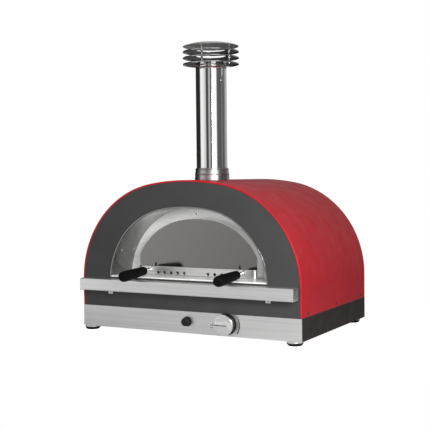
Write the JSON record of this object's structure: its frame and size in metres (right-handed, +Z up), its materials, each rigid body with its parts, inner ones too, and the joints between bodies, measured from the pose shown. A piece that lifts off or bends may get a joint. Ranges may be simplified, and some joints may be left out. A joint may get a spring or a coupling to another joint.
{
  "type": "countertop pizza oven",
  "caption": "Arched countertop gas pizza oven with a lift-out door, sliding vents, gas knob, igniter, front shelf and a capped chimney.",
  "frame": {"origin": "centre of the footprint, at the underside of the feet", "axes": "+Z up, the mouth and the controls face -Y, +X to the right of a person facing the mouth"},
  "size_m": [0.7844, 0.6767, 0.933],
  "materials": {
    "red_enamel": "satin red powder coat",
    "grey_enamel": "matt anthracite powder coat",
    "base_brown": "satin dark brown coat",
    "brushed_steel": "brushed along its length",
    "polished_steel": "mirror polished stainless steel",
    "door_mirror_steel": "polished darkened stainless steel",
    "chamber_steel": "mill finish stainless steel",
    "zinc_steel": "zinc plated",
    "dark_steel": "blackened steel",
    "hearth_stone": "sanded refractory clay",
    "insulation": "ceramic fibre blanket",
    "foot_cup": "pressed cup, satin",
    "foot_rubber": "matt",
    "copper_pipe": "drawn copper",
    "brass": "machined brass",
    "ceramic_white": "glazed",
    "black_plastic": "moulded heat-resistant plastic",
    "knob_chrome": "satin chrome",
    "black_grip": "moulded heat-resistant grip"
  },
  "bodies": {
    "oven": {"outer_shell": "red_enamel", "front_panel": "grey_enamel", "rear_panel": "grey_enamel", "shell_rails": "zinc_steel", "shell_screws": "dark_steel", "chamber_insulation": "insulation", "front_insulation": "insulation", "floor_insulation": "insulation", "inner_dome": "chamber_steel", "inner_rear_wall": "chamber_steel", "chamber_front_wall": "polished_steel", "mouth_tunnel": "polished_steel", "mouth_floor": "polished_steel", "tunnel_rivets": "polished_steel", "hearth_tray": "chamber_steel", "hearth_tiles": "hearth_stone", "base_front_panel": "brushed_steel", "base_sides": "base_brown", "base_rear_panel": "base_brown", "base_floor": "zinc_steel", "base_deck": "zinc_steel", "foot_cups": "foot_cup", "foot_rubbers": "foot_rubber", "foot_screws": "zinc_steel", "front_shelf": "brushed_steel", "shelf_brackets": "brushed_steel", "shelf_screws": "zinc_steel", "burner_tube": "chamber_steel", "burner_brackets": "chamber_steel", "flame_guard": "chamber_steel", "thermocouple": "copper_pipe", "spark_electrode": "ceramic_white", "burner_feed_pipe": "copper_pipe", "supply_pipe": "copper_pipe", "gas_inlet": "brass", "valve_body": "brass", "knob_bezel": "black_plastic", "igniter_body": "black_plastic", "igniter_bezel": "black_plastic", "flue_throat": "chamber_steel", "flue_collar": "polished_steel"},
    "door": {"door_front_panel": "door_mirror_steel", "door_box": "polished_steel", "door_rail": "polished_steel", "door_insulation": "insulation", "handle_shanks": "polished_steel", "handle_ferrules": "dark_steel", "handle_grips": "black_grip"},
    "left_slider": {"vent_slider_left": "polished_steel"},
    "right_slider": {"vent_slider_right": "polished_steel"},
    "valve_rotor": {"valve_plug": "brass"},
    "knob": {"valve_spindle": "zinc_steel", "control_knob": "knob_chrome", "knob_skirt": "black_plastic"},
    "igniter": {"igniter_button": "black_plastic"},
    "flue": {"flue_pipe": "polished_steel", "flue_screw": "zinc_steel"},
    "cap": {"cap_neck": "polished_steel", "cap_rings": "polished_steel", "cap_lid": "polished_steel"}
  },
  "joints": [
    {"name": "door_pull", "type": "slide", "parent": "oven", "child": "door", "axis": [0, -1, 0], "range_m": [0, 0.35]},
    {"name": "left_vent", "type": "slide", "parent": "door", "child": "left_slider", "axis": [-1, 0, 0], "range_m": [-0.00975, 0.0025]},
    {"name": "right_vent", "type": "slide", "parent": "door", "child": "right_slider", "axis": [1, 0, 0], "range_m": [-0.00975, 0.0025]},
    {"name": "gas_turn", "type": "hinge", "parent": "oven", "child": "valve_rotor", "pos_m": [0.142, -0.2355, 0.049], "axis": [0, -1, 0], "range_deg": [0, 210]},
    {"name": "gas_push", "type": "slide", "parent": "valve_rotor", "child": "knob", "axis": [0, 1, 0], "range_m": [0, 0.004], "stiffness_N_per_m": 1500, "springref_m": -0.002},
    {"name": "igniter_push", "type": "slide", "parent": "oven", "child": "igniter", "axis": [0, 1, 0], "range_m": [0, 0.005], "stiffness_N_per_m": 2000, "springref_m": -0.002},
    {"name": "flue_lift", "type": "slide", "parent": "oven", "child": "flue", "axis": [0, 0, 1], "range_m": [0, 0.08]},
    {"name": "cap_lift", "type": "slide", "parent": "flue", "child": "cap", "axis": [0, 0, 1], "range_m": [0, 0.06]}
  ]
}
